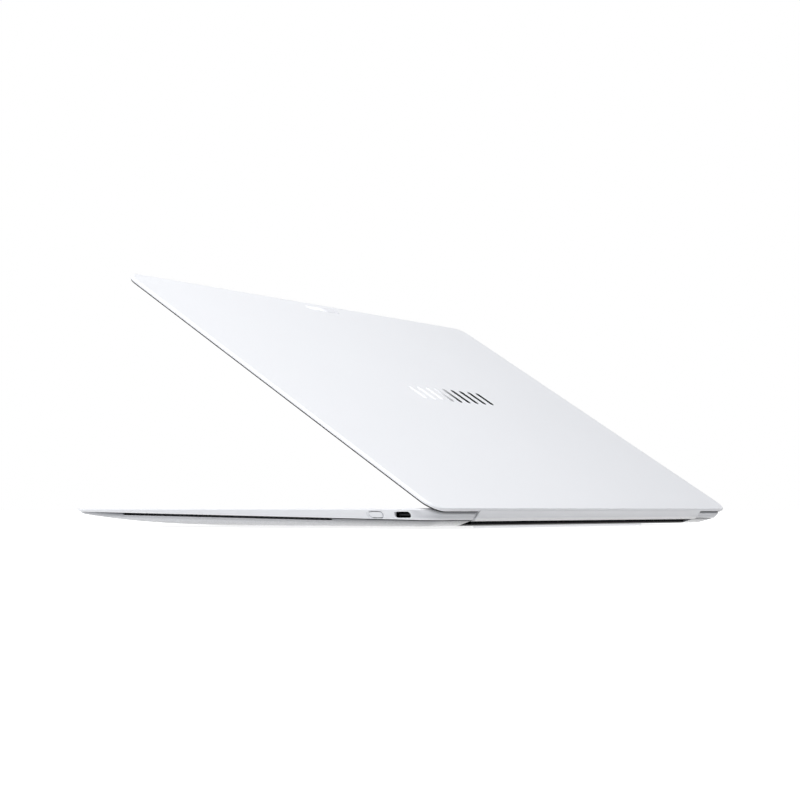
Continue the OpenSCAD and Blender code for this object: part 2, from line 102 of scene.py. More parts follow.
def corners(points):
    """The lowest and highest corner of some points."""
    return (Vector([min(p[i] for p in points) for i in range(3)]),
            Vector([max(p[i] for p in points) for i in range(3)]))


def islands(bm):
    """The points of each separate part of a bmesh."""
    seen, groups = set(), []
    for start in bm.verts:
        if start in seen:
            continue
        stack, points = [start], []
        seen.add(start)
        while stack:
            vert = stack.pop()
            points.append(vert.co.copy())
            for edge in vert.link_edges:
                other = edge.other_vert(vert)
                if other not in seen:
                    seen.add(other)
                    stack.append(other)
        groups.append(points)
    return groups


def node_bmesh(node):
    """A CAD node's mesh in metres, its double points merged."""
    bm = bmesh.new()
    bm.from_mesh(frame["nodes"][node].data)
    bmesh.ops.remove_doubles(bm, verts=bm.verts, dist=1e-6)
    return bm


def solid_boxes(node):
    """Each separate solid of a CAD node as its own (low, high) corners, in mm."""
    bm = node_bmesh(node)
    boxes = [corners([p / MM for p in points]) for points in islands(bm)]
    bm.free()
    return sorted(boxes, key=lambda b: (round(b[0].y), b[0].x))


def rounded_path(arc, nx, ny):
    """Stations around a rounded rectangle: (x side, y share, normal x, normal y)."""
    stations = []
    turns = [(1, 1, 0), (-1, 1, 90), (-1, 0, 180), (1, 0, 270)]
    for i, (sx, ty, start) in enumerate(turns):
        for k in range(arc + 1):
            a = math.radians(start + 90 * k / arc)
            stations.append((sx, ty, math.cos(a), math.sin(a)))
        next_sx, next_ty, _ = turns[(i + 1) % 4]
        count = nx if next_sx != sx else ny
        a = math.radians(start + 90)
        for k in range(1, count):
            t = k / count
            stations.append((sx + (next_sx - sx) * t, ty + (next_ty - ty) * t,
                             math.cos(a), math.sin(a)))
    return stations


def on_path(station, half_x, y_front, y_rear, r):
    """The x and y of a station on a rounded rectangle of this size."""
    sx, ty, cx, cy = station
    y = (y_front + r) * (1 - ty) + (y_rear - r) * ty
    return sx * (half_x - r) + r * cx, y + r * cy


def rounded_ring(path, w, d, r, z, centre=(0, 0)):
    """A level rounded rectangle, w by d, as 3-D points."""
    ring = []
    for s in path:
        x, y = on_path(s, w / 2, -d / 2, d / 2, r)
        ring.append((x + centre[0], y + centre[1], z))
    return ring


def fillet(points, radii, steps=5):
    """An open outline in the plane with its inner corners rounded."""
    out = [points[0]]
    for before, at, after, r in zip(points, points[1:], points[2:], radii):
        p = Vector(at)
        u = (Vector(before) - p).normalized()
        v = (Vector(after) - p).normalized()
        half = math.acos(max(-1, min(1, u.dot(v)))) / 2
        reach = r / math.tan(half)
        centre = p + (u + v).normalized() * (r / math.sin(half))
        a = p + u * reach - centre
        b = p + v * reach - centre
        turn = a.angle(b)
        for k in range(steps + 1):
            t = k / steps
            share = (math.sin((1 - t) * turn) * a + math.sin(t * turn) * b) / math.sin(turn)
            out.append(tuple(centre + share))
    out.append(points[-1])
    return out


def loft(bm, rings):
    """Closed rings with the same count joined by quads, with flat ends."""
    rows = [[bm.verts.new(p) for p in ring] for ring in rings]
    count = len(rows[0])
    for low, high in zip(rows, rows[1:]):
        for i in range(count):
            j = (i + 1) % count
            bm.faces.new((low[i], low[j], high[j], high[i]))
    bm.faces.new(reversed(rows[0]))
    bm.faces.new(rows[-1])


def prism_x(bm, outline, x0, x1):
    """An outline of (y, z) points extruded along X."""
    loft(bm, [[(x, y, z) for y, z in outline] for x in (x0, x1)])


def box(bm, low, high):
    """An axis-aligned box."""
    outline = [(low[1], low[2]), (high[1], low[2]), (high[1], high[2]), (low[1], high[2])]
    prism_x(bm, outline, low[0], high[0])


def circle(radius, steps):
    """Points of a circle."""
    angles = [2 * math.pi * k / steps for k in range(steps)]
    return [(radius * math.cos(a), radius * math.sin(a)) for a in angles]


def pill(w, h, steps=12):
    """Points of a pill of overall size w by h, lying along the first axis."""
    r = h / 2
    right = [math.radians(-90 + 180 * k / steps) for k in range(steps + 1)]
    left = [a + math.pi for a in right]
    return ([(w / 2 - r + r * math.cos(a), r * math.sin(a)) for a in right]
            + [(-w / 2 + r + r * math.cos(a), r * math.sin(a)) for a in left])


def finish_mesh(bm, name, transform=None):
    """A Blender mesh in metres from a bmesh in millimetres."""
    bmesh.ops.recalc_face_normals(bm, faces=bm.faces)
    if bm.calc_volume(signed=True) < 0:
        bmesh.ops.reverse_faces(bm, faces=bm.faces)
    bm.transform(Matrix.Scale(MM, 4))
    if transform is not None:
        bm.transform(transform)
    mesh = bpy.data.meshes.new(name)
    bm.to_mesh(mesh)
    bm.free()
    return mesh


def new_object(name, mesh):
    """An object in the scene that holds this mesh, light or camera."""
    obj = bpy.data.objects.new(name, mesh)
    bpy.context.scene.collection.objects.link(obj)
    return obj


def apply_modifiers(obj):
    """Bakes an object's modifiers into its mesh."""
    bpy.context.view_layer.update()
    graph = bpy.context.evaluated_depsgraph_get()
    mesh = bpy.data.meshes.new_from_object(obj.evaluated_get(graph))
    obj.modifiers.clear()
    obj.data = mesh


def subtract(obj, cutter_bm):
    """Cuts a bmesh of closed solids, in millimetres, out of an object."""
    cutter = new_object("cutter", finish_mesh(cutter_bm, "cutter"))
    modifier = obj.modifiers.new("cut", "BOOLEAN")
    modifier.operation = "DIFFERENCE"
    modifier.solver = "EXACT"
    modifier.use_self = False
    modifier.object = cutter
    apply_modifiers(obj)
    bpy.data.objects.remove(cutter)


def round_edges(obj, width, angle=40):
    """A small real bevel on every sharp edge."""
    modifier = obj.modifiers.new("edges", "BEVEL")
    modifier.width = width * MM
    modifier.segments = 2
    modifier.limit_method = "ANGLE"
    modifier.angle_limit = math.radians(angle)
    modifier.use_clamp_overlap = True
    modifier.miter_outer = "MITER_ARC"
    apply_modifiers(obj)


def smooth(obj, angle=35):
    """Smooth shading that leaves flat faces flat."""
    for face in obj.data.polygons:
        face.use_smooth = True
    obj.data.set_sharp_from_angle(angle=math.radians(angle))
    modifier = obj.modifiers.new("normals", "WEIGHTED_NORMAL")
    modifier.keep_sharp = True
    modifier.weight = 80


def place(obj, material, body, slot, *nodes):
    """Gives a finished piece its material and body, and hides the CAD nodes it stands for. The
    slot is not used.
    """
    obj.data.materials.clear()
    obj.data.materials.append(material)
    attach(obj, body)
    if nodes:
        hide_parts(*nodes)
    return obj


def lid_transform():
    """Turns a shape drawn with the lid closed to the lid's place at rest."""
    axis = AXIS * MM
    return (Matrix.Translation(axis) @ Matrix.Rotation(-OPEN_ANGLE, 4, "X")
            @ Matrix.Translation(-axis))


# ---------------------------------------------------------------- materials

class Graph:
    """A small helper that writes the nodes of a new material, or of one that has some."""

    def __init__(self, name=None, material=None):
        self.material = material or bpy.data.materials.new(name)
        self.material.use_nodes = True
        self.nodes = self.material.node_tree.nodes
        self.links = self.material.node_tree.links
        self.shader = self.nodes["Principled BSDF"]
        self.coords = self.nodes.new("ShaderNodeTexCoord").outputs["Object"]

    def link(self, source, target):
        self.links.new(source, target)

    def noise(self, per_metre, detail=2.0, rough=0.5, stretch=None):
        """Noise from zero to one, in the object's own coordinates."""
        node = self.nodes.new("ShaderNodeTexNoise")
        node.inputs["Scale"].default_value = per_metre
        node.inputs["Detail"].default_value = detail
        node.inputs["Roughness"].default_value = rough
        source = self.coords
        if stretch is not None:
            mapping = self.nodes.new("ShaderNodeMapping")
            mapping.inputs["Scale"].default_value = stretch
            self.link(source, mapping.inputs["Vector"])
            source = mapping.outputs["Vector"]
        self.link(source, node.inputs["Vector"])
        return node.outputs["Fac"]

    def spread(self, value, low, high, out_low, out_high):
        """Maps a value from one range to another, clamped."""
        node = self.nodes.new("ShaderNodeMapRange")
        node.inputs["From Min"].default_value = low
        node.inputs["From Max"].default_value = high
        node.inputs["To Min"].default_value = out_low
        node.inputs["To Max"].default_value = out_high
        self.link(value, node.inputs["Value"])
        return node.outputs["Result"]

    def mix_colour(self, factor, a, b):
        """Blends two colours, or sockets that hold colours, by a socket or a fixed share."""
        node = self.nodes.new("ShaderNodeMix")
        node.data_type = "RGBA"
        for socket, colour in zip((s for s in node.inputs if s.type == "RGBA"), (a, b)):
            if isinstance(colour, tuple):
                socket.default_value = (*colour, 1)
            else:
                self.link(colour, socket)
        if isinstance(factor, float):
            node.inputs[0].default_value = factor
        else:
            self.link(factor, node.inputs[0])
        return next(s for s in node.outputs if s.type == "RGBA")

    def bump(self, height, distance_mm, strength):
        """Makes fine relief from a height that runs from zero to one."""
        node = self.nodes.new("ShaderNodeBump")
        node.inputs["Strength"].default_value = strength
        node.inputs["Distance"].default_value = distance_mm * MM
        self.link(height, node.inputs["Height"])
        self.link(node.outputs["Normal"], self.shader.inputs["Normal"])

    def along(self, direction):
        """How far a point lies along a direction, in metres."""
        node = self.nodes.new("ShaderNodeVectorMath")
        node.operation = "DOT_PRODUCT"
        self.link(self.coords, node.inputs[0])
        node.inputs[1].default_value = direction
        return node.outputs["Value"]

    def window(self, value, low_mm, high_mm, soft_mm):
        """One between two limits, zero outside them, with soft ends."""
        rise = self.spread(value, low_mm * MM, (low_mm + soft_mm) * MM, 0, 1)
        fall = self.spread(value, (high_mm - soft_mm) * MM, high_mm * MM, 1, 0)
        return self.product(rise, fall)

    def math(self, operation, *values):
        """A math node fed with sockets or plain numbers."""
        node = self.nodes.new("ShaderNodeMath")
        node.operation = operation
        for socket, value in zip(node.inputs, values):
            if isinstance(value, (int, float)):
                socket.default_value = value
            else:
                self.link(value, socket)
        return node.outputs[0]

    def product(self, *values):
        """Some sockets multiplied together."""
        total = values[0]
        for value in values[1:]:
            total = self.math("MULTIPLY", total, value)
        return total

    def tint(self, factor, colour):
        """Lays a colour over what the base colour holds so far."""
        socket = self.shader.inputs["Base Color"]
        below = socket.links[0].from_socket
        self.link(self.mix_colour(factor, below, colour), socket)

    def dull(self, factor, coat):
        """Takes the shine away where the factor is one."""
        self.link(self.spread(factor, 0, 1, coat, 0), self.shader.inputs["Coat Weight"])
        self.link(self.spread(factor, 0, 1, 0.5, 0.04), self.shader.inputs["Specular IOR Level"])

    def over_crease(self):
        """Height above the base's crease line, in metres."""
        height = self.along((0, CREASE_FALL, 1))
        return self.math("SUBTRACT", height, (CREASE_Z + CREASE_FALL * FRONT) * MM)

    def set(self, **values):
        """Sets plain shader inputs, an underscore standing for each space in their names."""
        for name, value in values.items():
            self.shader.inputs[name.replace("_", " ")].default_value = value


def scaled(colour, factor):
    """A colour made darker or lighter."""
    return tuple(min(1.0, c * factor) for c in colour)


def blasted(name, colour, rough=0.42, grain=0.010, coat=0.0, coat_rough=0.25):
    """Fine bead-blasted, pearl-like finish: tiny speckle, faint cloudiness."""
    g = Graph(name)
    speckle = g.spread(g.noise(2600, 2, 0.7), 0.35, 0.65, 0, 1)
    cloud = g.spread(g.noise(14, 3, 0.5), 0.3, 0.7, 0, 1)
    fine = g.mix_colour(speckle, scaled(colour, 0.985), scaled(colour, 1.012))
    clouded = g.mix_colour(cloud, scaled(colour, 0.99), scaled(colour, 1.008))
    g.link(g.mix_colour(0.5, fine, clouded), g.shader.inputs["Base Color"])
    g.link(g.spread(speckle, 0, 1, rough - 0.04, rough + 0.04), g.shader.inputs["Roughness"])
    g.bump(g.noise(3400, 2, 0.6), grain, 0.6)
    g.set(Coat_Weight=coat, Coat_Roughness=coat_rough)
    return g.material


def moulded(name, colour, rough=0.5, grain=0.01, glow=0.0, shine=0.5):
    """Moulded plastic or rubber with a fine even texture."""
    g = Graph(name)
    per_metre = 1800
    tone = g.spread(g.noise(per_metre, 2), 0.3, 0.7, 0, 1)
    g.link(g.mix_colour(tone, scaled(colour, 0.93), scaled(colour, 1.05)),
           g.shader.inputs["Base Color"])
    g.link(g.spread(tone, 0, 1, rough - 0.05, rough + 0.05), g.shader.inputs["Roughness"])
    g.bump(g.noise(per_metre * 1.4, 2), grain, 0.5)
    g.set(Specular_IOR_Level=shine, Emission_Color=(*colour, 1), Emission_Strength=glow)
    return g.material


def metal(name, colour, rough=0.3):
    """Metal with fine brushed lines along X."""
    g = Graph(name)
    lines = g.noise(900, 3, 0.6, stretch=(1, 20, 20))
    tone = g.spread(lines, 0.3, 0.7, 0, 1)
    g.link(g.mix_colour(tone, scaled(colour, 0.9), scaled(colour, 1.06)),
           g.shader.inputs["Base Color"])
    g.link(g.spread(tone, 0, 1, rough - 0.06, rough + 0.08), g.shader.inputs["Roughness"])
    g.bump(lines, 0.002, 0.4)
    g.set(Metallic=1.0)
    return g.material


def mirror_polish(name, colour):
    """Polished inlay that mirrors the room."""
    g = Graph(name)
    haze = g.spread(g.noise(60, 2), 0.3, 0.7, 0.008, 0.018)
    g.link(haze, g.shader.inputs["Roughness"])
    g.link(g.mix_colour(g.noise(300, 2), scaled(colour, 0.97), colour),
           g.shader.inputs["Base Color"])
    g.set(Metallic=1.0)
    return g.material


def insert_lens():
    """The insert at the lid's edge: mirror bright at one end, with a painted dark reflection in
    grey at the other.
    """
    g = Graph(material=mirror_polish("insert_lens", (0.80, 0.81, 0.84)))
    # Painted reflection: the mirror's colour turns grey towards one end, standing in for a dark
    # reflection.
    g.tint(g.spread(g.along((1, 0, 0)), -3 * MM, 3 * MM, 1, 0), (0.55, 0.56, 0.60))
    return g.material


def screen_glass(name):
    """Black glass over a display that is off."""
    g = Graph(name)
    g.link(g.mix_colour(g.noise(40, 2), (0.006, 0.006, 0.008), (0.010, 0.010, 0.012)),
           g.shader.inputs["Base Color"])
    g.link(g.spread(g.noise(25, 2), 0.3, 0.7, 0.05, 0.09), g.shader.inputs["Roughness"])
    g.set(Specular_IOR_Level=0.3)
    return g.material


def circuit_board(name):
    """Dark green solder mask with faint copper traces."""
    g = Graph(name)
    traces = g.spread(g.noise(500, 0, 0.5, (1, 6, 1)), 0.5, 0.54, 0, 1)
    g.link(g.mix_colour(traces, (0.012, 0.07, 0.035), (0.03, 0.14, 0.07)),
           g.shader.inputs["Base Color"])
    g.link(g.spread(traces, 0, 1, 0.35, 0.5), g.shader.inputs["Roughness"])
    g.bump(traces, 0.02, 0.5)
    return g.material


PITCH = (0.006, 0.006, 0.007)  # unlit black deep inside a gap
BEHIND = 130  # a depth in mm behind every part of the base


def in_notch(g, start):
    """One inside the spine's notch, from a depth of `start` mm to behind the base."""
    half = NOTCH_HALF - 0.05
    return g.product(g.window(g.along((0, 1, 0)), start, BEHIND, 0.2),
                     g.window(g.along((1, 0, 0)), -half, half, 0.01))


def base_shell():
    """The case's pearl finish, with a painted highlight along its lower edge, a painted shadow of
    the lid on the corner blocks and painted shade inside the spine's notch.
    """
    coat = 0.25
    g = Graph(material=blasted("pearl_white_base", (0.86, 0.87, 0.90), rough=0.38,
                               coat=coat, coat_rough=0.2))
    # Painted highlight: a near-white band along the case's lower edge, just above the crease.
    painted_lower_edge_highlight = g.window(g.over_crease(), -0.2, 0.42, 0.1)
    g.tint(painted_lower_edge_highlight, (0.97, 0.98, 1.0))
    # Painted shadow: the rear corner blocks are darkened above the crease, where the lid's edge
    # overhangs them.
    rear = g.window(g.along((0, 1, 0)), 95, BEHIND, 5)
    g.tint(g.product(rear, g.window(g.over_crease(), 0.7, 4.6, 0.5)), (0.66, 0.67, 0.70))
    # Painted shade: unlit black inside the spine's notch, with its shine taken away.
    notch = g.product(in_notch(g, 98.4), g.window(g.along((0, 0, 1)), -5, 8.6, 0.1))
    g.tint(notch, PITCH)
    g.dull(notch, coat)
    return g.material


def underside_shell():
    """The bottom cover: a darker copy of the case's white as painted shade, more painted shade
    under the crease that gives way to the lighter flat belly, a painted highlight on the lip under
    each side slot, and painted shade in the spine's notch.
    """
    coat = 0.9
    # Painted shade: the whole cover takes a darker copy of the case's white.
    g = Graph(material=blasted("underside_satin", (0.68, 0.69, 0.72), rough=0.28, grain=0.003,
                               coat=coat, coat_rough=0.12))
    height = g.over_crease()
    # Painted shade: dark just under the crease, fading out towards the belly and weaker towards
    # the front.
    painted_crease_shade = g.product(g.spread(height, -2.7 * MM, -0.35 * MM, 0, 1),
                          g.spread(g.along((0, 1, 0)), -108 * MM, -78 * MM, 0.35, 1))
    g.tint(painted_crease_shade, (0.17, 0.175, 0.195))
    # Painted highlight: a lighter line on the lip under each side slot, along the slot's length.
    painted_slot_lip_highlight = g.window(g.along((0, 1, 0)), *VENT_Y, 1)
    g.tint(g.product(painted_slot_lip_highlight, g.window(height, -1.55, -1.1, 0.1)), (0.62, 0.63, 0.66))
    # Painted shade: unlit black on the cover inside the spine's notch, with its shine taken away.
    tail = in_notch(g, 97.5)
    g.tint(tail, PITCH)
    g.dull(g.math("MAXIMUM", painted_crease_shade, tail), coat)
    return g.material


def spine_shell():
    """The spine's satin finish, with a painted highlight along its lower edge."""
    g = Graph(material=blasted("spine_satin", (0.80, 0.81, 0.84), rough=0.36,
                               coat=0.4, coat_rough=0.15))
    # Painted highlight: a near-white band along the spine's lower edge.
    g.tint(g.spread(g.along((0, 0, 1)), 4.4 * MM, 5.1 * MM, 1, 0), (0.99, 0.99, 1.0))
    return g.material


PEARL = blasted("pearl_white", (0.875, 0.885, 0.915), rough=0.45, coat=0.05)
PEARL_BASE = base_shell()
UNDERSIDE = underside_shell()
SPINE = spine_shell()
KEYCAP = moulded("keycap_white", (0.80, 0.805, 0.83), rough=0.48, grain=0.006)
LEGEND = moulded("legend_grey", (0.16, 0.165, 0.18), rough=0.5)
TOUCHPAD = blasted("touchpad_satin", (0.86, 0.87, 0.90), rough=0.34)
GASKET = moulded("gasket_black", (0.018, 0.018, 0.020), rough=0.55, shine=0.1)
# Painted light: the feet glow faintly so they stay pale where they sit in shadow.
FOOT = moulded("foot_silicone", (0.84, 0.845, 0.86), rough=0.6, grain=0.01, glow=0.6)
BLACK = moulded("vent_black", (0.010, 0.010, 0.012), rough=0.6, shine=0.05)
DARK_PLASTIC = moulded("dark_plastic", (0.03, 0.03, 0.033), rough=0.5)
VENT_MESH = moulded("vent_mesh", (0.055, 0.057, 0.065), rough=0.5)
STEEL = metal("brushed_steel", (0.56, 0.57, 0.59), rough=0.32)
PORT_BLACK = metal("port_black_nickel", (0.020, 0.020, 0.022), rough=0.35)
PLATE = metal("key_plate_aluminium", (0.33, 0.34, 0.36), rough=0.4)
FINS = metal("fin_aluminium", (0.66, 0.67, 0.69), rough=0.35)
COPPER = metal("copper", (0.72, 0.38, 0.24), rough=0.28)
POLISHED = mirror_polish("polished_inlay", (0.80, 0.81, 0.84))
INSERT = insert_lens()
GLASS = screen_glass("screen_glass")
BOARD = circuit_board("circuit_board")
LENS = metal("lens_ring", (0.05, 0.055, 0.09), rough=0.12)


# ---------------------------------------------------------------- base shells

BASE_PATH = rounded_path(arc=14, nx=40, ny=48)
RIM_W = 0.7
CAVITY_R = 6


def crease_z(y):
    """Height of the line between the side wall and the bottom cover."""
    return CREASE_Z - CREASE_FALL * (y - FRONT)


def wall_inset(z):
    """How far the leaning side wall stands inside the deck's edge at a height."""
    return WALL_LEAN * (DECK - z)


def rear_of_blocks(z):
    """How far back the corner blocks reach at a height."""
    if z >= AXIS.z:
        rise = min(z - AXIS.z, BLOCK_R)
        return AXIS.y + math.sqrt(max(0.0, BLOCK_R ** 2 - rise ** 2))
    return AXIS.y + BLOCK_R - 0.8 * (AXIS.z - z)


def case_profile(bottom):
    """(inset, height) points from the deck, over the edge and down to the crease."""
    inset = wall_inset(bottom)
    flat = [(1.6, DECK), (0.0, DECK), (inset, bottom), (inset + RIM_W, bottom)]
    edge_steps, wall_steps = 5, 9
    outline = fillet(flat, [0.45, 0.34], edge_steps)
    on_top = edge_steps + 2
    wall_top, wall_low = outline[on_top - 1], outline[on_top]
    between = []
    for k in range(1, wall_steps):
        t = k / wall_steps
        between.append(tuple(a * (1 - t) + b * t for a, b in zip(wall_top, wall_low)))
    return outline[:on_top] + between + outline[on_top:]


def case_rings():
    """Outer skin of the top case, then its cavity."""
    stations = []
    for s in BASE_PATH:
        _, y = on_path(s, HALF_W, FRONT, REAR, CORNER_R)
        stations.append((s, case_profile(crease_z(y))))
    rings = []
    count = len(stations[0][1])
    for k in range(count):
        ring = []
        for s, profile in stations:
            inset, z = profile[k]
            rear = rear_of_blocks(z)
            if k == 0:
                rear -= inset
            elif k == count - 1:
                rear -= RIM_W
            r = CORNER_R - 0.4 * inset
            ring.append((*on_path(s, HALF_W - inset, FRONT + inset, rear, r), z))
        rings.append(ring)
    lower, upper = [], []
    for s, profile in stations:
        inset, z = profile[-1]
        half, front = HALF_W - inset - 0.6, FRONT + inset + 0.6
        lower.append((*on_path(s, half, front, CAVITY_REAR, CAVITY_R), z))
        half, front = HALF_W - 2.4, FRONT + 2.6
        upper.append((*on_path(s, half, front, CAVITY_REAR, CAVITY_R), DECK - DECK_T))
    return rings + [lower, upper]


def notch_cutter(bm):
    """Room for the spine between the corner blocks."""
    steps = 28
    front = [math.radians(90 + 180 * k / steps) for k in range(steps + 1)]
    outline = [(AXIS.y + NOTCH_R * math.cos(a), AXIS.z + NOTCH_R * math.sin(a)) for a in front]
    outline += [(REAR + 6, AXIS.z - NOTCH_R), (REAR + 6, AXIS.z + NOTCH_R)]
    prism_x(bm, outline, -NOTCH_HALF, NOTCH_HALF)


def pill_x(bm, centre_y, centre_z, w, h, x0, x1):
    """A pill-shaped prism along X."""
    prism_x(bm, [(centre_y + a, centre_z + b) for a, b in pill(w, h)], x0, x1)


KEY_NODES = ["function_keys", "number_keys", "upper_letter_keys", "middle_letter_keys",
             "lower_letter_keys", "bottom_row_keys", "space_bar", "enter_key", "backspace_key",
             "tab_key", "caps_lock_key", "shift_key_left", "shift_key_right", "arrow_keys"]
KEYS = {node: solid_boxes(node) for node in KEY_NODES}
KEY_CLEAR, KEY_HOLE_R = 0.35, 1.6
PAD_CLEAR, PAD_HOLE_R = 0.2, 2.2
PORT_Y = middle(*node_box_mm("usb_c_port_right")).y
PORT_Z = 6.4
PORT_W = 8.94
PORT_DEPTH = 12
MOUTH_W, MOUTH_H = 8.5, 2.66
BUTTON_Y = middle(*node_box_mm("power_button")).y
BUTTON_W, BUTTON_H = 7.0, 2.5
BUTTON_RIM = 0.36
EXHAUST_LOW, EXHAUST_HIGH = (-112, 98, 1), (112, 108, 5.1)
SMALL_PATH = rounded_path(arc=5, nx=1, ny=1)


def deck_opening(bm, low, high, clear, r):
    """An opening through the deck around a box, wider by `clear` on each side."""
    c = middle(low, high)
    w, d = high.x - low.x + 2 * clear, high.y - low.y + 2 * clear
    loft(bm, [rounded_ring(SMALL_PATH, w, d, r, z, (c.x, c.y)) for z in (DECK - 3, DECK + 1)])


def top_case():
    """The white case: side walls, deck with its openings and the corner blocks at the rear."""
    bm = bmesh.new()
    loft(bm, case_rings())
    case = new_object("top_case_shell", finish_mesh(bm, "top_case_shell"))
    cut = bmesh.new()
    notch_cutter(cut)
    subtract(case, cut)
    cut = bmesh.new()
    for boxes in KEYS.values():
        for low, high in boxes:
            deck_opening(cut, low, high, KEY_CLEAR, KEY_HOLE_R)
    deck_opening(cut, *node_box_mm("touchpad"), PAD_CLEAR, PAD_HOLE_R)
    subtract(case, cut)
    cut = bmesh.new()
    inner, outer = HALF_W - PORT_DEPTH, HALF_W + 2
    pill_x(cut, PORT_Y, PORT_Z, MOUTH_W, MOUTH_H, inner, outer)
    for low, high in solid_boxes("usb_c_ports_left"):
        if high.y - low.y > PORT_W - 0.2:
            pill_x(cut, middle(low, high).y, PORT_Z, MOUTH_W, MOUTH_H, -outer, -inner)
    box(cut, EXHAUST_LOW, EXHAUST_HIGH)
    button_cutter(cut)
    subtract(case, cut)
    round_edges(case, 0.12)
    smooth(case)
    return place(case, PEARL_BASE, "base", "white_shell", "top_case")


def wall_x(z):
    """Half width of the base at a height, on the leaning wall."""
    return HALF_W - wall_inset(z)


def leaning_ring(w, h, centre_y, centre_z, back):
    """A pill outline drawn on a plane parallel to the side wall, `back` mm inside it."""
    return [(wall_x(centre_z + b) - back, centre_y + a, centre_z + b) for a, b in pill(w, h)]


def button_cutter(bm):
    """Shallow rim, then the opening that the power button slides in."""
    rings = []
    for more_w, more_h, depths in ((2.4, 0.9, (-2.5, BUTTON_RIM)), (0.6, 0.6, (BUTTON_RIM, 5.0))):
        rings += [leaning_ring(BUTTON_W + more_w, BUTTON_H + more_h, BUTTON_Y, PORT_Z, back)
                  for back in depths]
    loft(bm, rings)


def power_button():
    """The button's cap, its face parallel to the side wall and its rim softly rounded."""
    bm = bmesh.new()
    rings = []
    for inset, back in [(0, 3.2), (0, 0.32), (0.03, 0.24), (0.10, 0.20), (0.2, 0.18)]:
        w, h = BUTTON_W - 2 * inset, BUTTON_H - 2 * inset
        rings.append(leaning_ring(w, h, BUTTON_Y, PORT_Z, back))
    loft(bm, rings)
    button = new_object("power_button_cap", finish_mesh(bm, "power_button_cap"))
    smooth(button)
    return place(button, PEARL_BASE, "power_button", "white_shell", "power_button")


COVER_LIP = 0.45
COVER_T = 1.0
JOINT_GAPS = (0.06, 0.28)
GAP_TAPER = 50
BEVEL_INSET = 12.5
TAPER = 118.0
FLAT_Z = 1.0
CREASE_REAR_Z = 4.0
OUTER_STEPS = [92, 78, 64, 51, 40, 30, 22, 16, 12, 9, 7.8, 6.6, 5.4, 4.3, 3.3, 2.4, 1.6, 0.9, 0.4,
               0.15, 0]
INNER_STEPS = [1.1, 2.2, 3.4, 4.8, 6.4, 8.2, 11, 15, 21, 30, 40, 51, 64, 78, 92]
TAIL_START, TAIL_STEP, TAIL_Z = 99.5, 102.3, 1.75


def cover_edge(y):
    """Top of the bottom cover's edge; the gap under the case narrows towards the front."""
    front, side = JOINT_GAPS
    return crease_z(y) - front - (side - front) * min(1.0, max(0.0, (y - FRONT) / GAP_TAPER))


def belly_z(y, w):
    """Height of the underside at a depth, w millimetres inside the cover's edge."""
    edge = cover_edge(y)
    bevel_w = BEVEL_INSET - wall_inset(edge) - COVER_LIP
    side = max(0.0, 1 - w / bevel_w) ** (1.05 + 0.33 * (edge - CREASE_REAR_Z))
    front = max(0.0, 1 - (y - FRONT) / TAPER) ** 2.7
    side_z = FLAT_Z + (edge - FLAT_Z) * side
    front_z = FLAT_Z + (cover_edge(FRONT) - FLAT_Z) * front
    blend = math.hypot(front_z - side_z, 0.3 * min(1.0, w / 2))
    return min(edge, (front_z + side_z + blend) / 2)


def cover_ring(w, rise=0.0, rim=False):
    """The cover's outline w mm inside its edge, on its belly or level with its rim."""
    ring = []
    for s in BASE_PATH:
        _, y = on_path(s, HALF_W, FRONT, REAR, CORNER_R)
        low = crease_z(y)
        inset = wall_inset(low) + COVER_LIP + w
        rear = rear_of_blocks(low) - COVER_LIP - w
        r = max(CORNER_R - 0.4 * wall_inset(low) - 0.5 * w, 3)
        x, y = on_path(s, HALF_W - inset, FRONT + inset, rear, r)
        z = cover_edge(y) if rim else min(belly_z(y, w) + rise, cover_edge(y))
        ring.append((x, y, z))
    return ring


def bottom_cover():
    """The dished bottom cover with its side slots, intakes and screw recesses."""
    bm = bmesh.new()
    rings = [cover_ring(w) for w in OUTER_STEPS]
    rings += [cover_ring(w, rim=True) for w in (0.25, 0.9)]
    rings += [cover_ring(w, rise=COVER_T) for w in INNER_STEPS]
    loft(bm, rings)
    cover = new_object("bottom_cover_shell", finish_mesh(bm, "bottom_cover_shell"))
    cut = bmesh.new()
    tail = [(TAIL_START, TAIL_Z), (TAIL_STEP, TAIL_Z), (TAIL_STEP, -1), (REAR + 5, -1),
            (REAR + 5, DECK), (TAIL_START, DECK)]
    prism_x(cut, tail, -NOTCH_HALF, NOTCH_HALF)
    subtract(cover, cut)
    cut = bmesh.new()
    side_slots(cut)
    intake_slots(cut)
    screw_recesses(cut)
    subtract(cover, cut)
    round_edges(cover, 0.10)
    smooth(cover)
    return place(cover, UNDERSIDE, "base", "bottom_shell", "bottom_cover")


def side_slots(bm):
    """The long slot under the crease on each side, its ends rounded."""
    for side in (-1, 1):
        outline = []
        for a, b in pill(VENT_Y[1] - VENT_Y[0], VENT_H, 8):
            y = (VENT_Y[0] + VENT_Y[1]) / 2 + a
            outline.append((y, crease_z(y) - VENT_DROP + b))
        x0, x1 = side * (HALF_W - 9), side * (HALF_W + 1)
        prism_x(bm, outline, min(x0, x1), max(x0, x1))


FAN_SPOTS = [middle(*node_box_mm(f"fan_rotor_{side}")) for side in ("left", "right")]
INTAKE_L, INTAKE_W, INTAKE_PITCH = 30, 1.2, 2.6
INTAKES_PER_SIDE = 9


def intake_slots(bm):
    """Rows of slots in the underside, below the fans."""
    for spot in FAN_SPOTS:
        for i in range(-INTAKES_PER_SIDE, INTAKES_PER_SIDE + 1):
            x = spot.x + i * INTAKE_PITCH
            ring = [(x + b, spot.y + a) for a, b in pill(INTAKE_L, INTAKE_W, 6)]
            loft(bm, [[(*point, z) for point in ring] for z in (-1, 5)])


